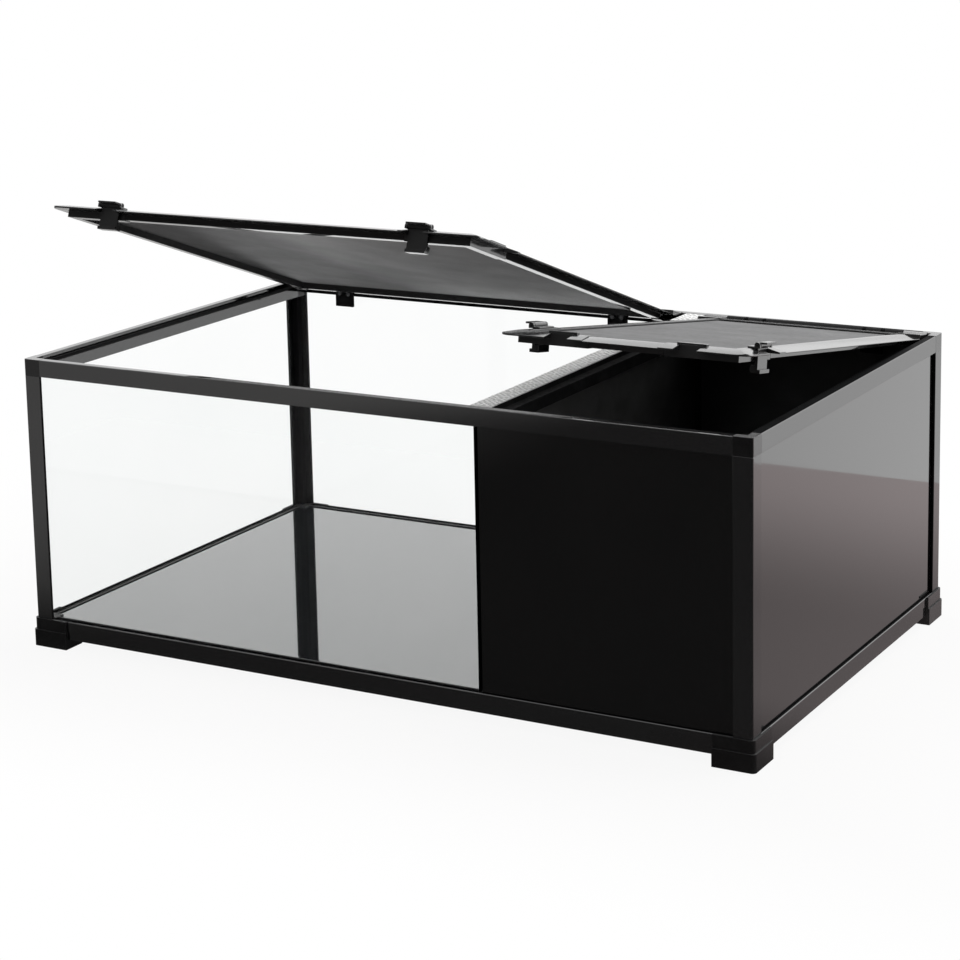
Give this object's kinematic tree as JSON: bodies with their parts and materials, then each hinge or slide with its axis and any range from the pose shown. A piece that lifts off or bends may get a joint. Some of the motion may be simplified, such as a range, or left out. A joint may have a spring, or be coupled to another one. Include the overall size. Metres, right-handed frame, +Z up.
{
  "type": "glass terrarium",
  "caption": "Low framed glass terrarium with a dark hide beyond a doorway, glossy floor, corner feet and hinged screen lids held by clips.",
  "frame": {"origin": "on the ground under the middle of the tank", "axes": "+X to the hide end, +Y to the hinged back, +Z up"},
  "size_m": [0.922, 0.574, 0.5292],
  "materials": {
    "frame_profile": "satin black",
    "lid_profile": "gloss black",
    "moulded_black": "satin moulded",
    "clear_glass": "clear",
    "dark_panel": "polished black",
    "floor_gloss": "polished black",
    "seal": "matt",
    "ribbed_grey": "ribbed",
    "screen": "black wire",
    "steel": "blackened"
  },
  "bodies": {
    "tank": {"top_rail_front": "frame_profile", "bottom_rail_front": "frame_profile", "top_rail_right": "frame_profile", "bottom_rail_right": "frame_profile", "top_rail_back": "frame_profile", "bottom_rail_back": "frame_profile", "top_rail_left": "frame_profile", "bottom_rail_left": "frame_profile", "post_front_left": "frame_profile", "top_cap_front_left": "moulded_black", "foot_front_left": "moulded_black", "post_front_right": "frame_profile", "top_cap_front_right": "moulded_black", "foot_front_right": "moulded_black", "post_back_right": "frame_profile", "top_cap_back_right": "moulded_black", "foot_back_right": "moulded_black", "post_back_left": "frame_profile", "top_cap_back_left": "moulded_black", "foot_back_left": "moulded_black", "front_glass": "clear_glass", "back_glass": "clear_glass", "left_glass": "clear_glass", "front_hide_panel": "dark_panel", "right_hide_panel": "dark_panel", "back_hide_panel": "dark_panel", "floor_panel": "floor_gloss", "floor_seal_beads": "seal", "divider_panel": "dark_panel", "divider_channels": "moulded_black", "divider_rail": "frame_profile", "divider_ribbed_strip": "ribbed_grey", "hinge_brackets": "moulded_black", "hinge_pins": "steel", "hinge_screws": "steel"},
    "left_lid": {"left_lid_front_bar": "lid_profile", "left_lid_back_bar": "lid_profile", "left_lid_left_bar": "lid_profile", "left_lid_right_bar": "lid_profile", "left_lid_corner_pieces": "moulded_black", "left_lid_screen": "screen", "left_lid_screen_spline": "seal", "left_lid_clip_brackets": "moulded_black", "left_lid_clip_pins": "steel"},
    "left_lid_left_clip": {"left_lid_left_clip": "moulded_black"},
    "left_lid_right_clip": {"left_lid_right_clip": "moulded_black"},
    "right_lid": {"right_lid_front_bar": "lid_profile", "right_lid_back_bar": "lid_profile", "right_lid_left_bar": "lid_profile", "right_lid_right_bar": "lid_profile", "right_lid_corner_pieces": "moulded_black", "right_lid_screen": "screen", "right_lid_screen_spline": "seal", "right_lid_clip_brackets": "moulded_black", "right_lid_clip_pins": "steel"},
    "right_lid_left_clip": {"right_lid_left_clip": "moulded_black"},
    "right_lid_right_clip": {"right_lid_right_clip": "moulded_black"}
  },
  "joints": [
    {"name": "left_lid_hinge", "type": "hinge", "parent": "tank", "child": "left_lid", "pos_m": [0, 0.2682, 0.344], "axis": [-1, 0, 0], "range_deg": [-19.4, 85.6]},
    {"name": "right_lid_hinge", "type": "hinge", "parent": "tank", "child": "right_lid", "pos_m": [0, 0.2682, 0.344], "axis": [-1, 0, 0], "range_deg": [-8.8, 96.2]},
    {"name": "left_lid_left_clip_pivot", "type": "hinge", "parent": "left_lid", "child": "left_lid_left_clip", "pos_m": [0, -0.22552, 0.52317], "axis": [-1, 0, 0], "range_deg": [0, 8.5]},
    {"name": "left_lid_right_clip_pivot", "type": "hinge", "parent": "left_lid", "child": "left_lid_right_clip", "pos_m": [0, -0.22552, 0.52317], "axis": [-1, 0, 0], "range_deg": [0, 8.5]},
    {"name": "right_lid_left_clip_pivot", "type": "hinge", "parent": "right_lid", "child": "right_lid_left_clip", "pos_m": [0.1735, -0.19471, 0.42072], "axis": [0, 0.9882, -0.153], "range_deg": [0, 8.5]},
    {"name": "right_lid_right_clip_pivot", "type": "hinge", "parent": "right_lid", "child": "right_lid_right_clip", "pos_m": [0.431, -0.19471, 0.42072], "axis": [0, -0.9882, 0.153], "range_deg": [0, 8.5]}
  ]
}
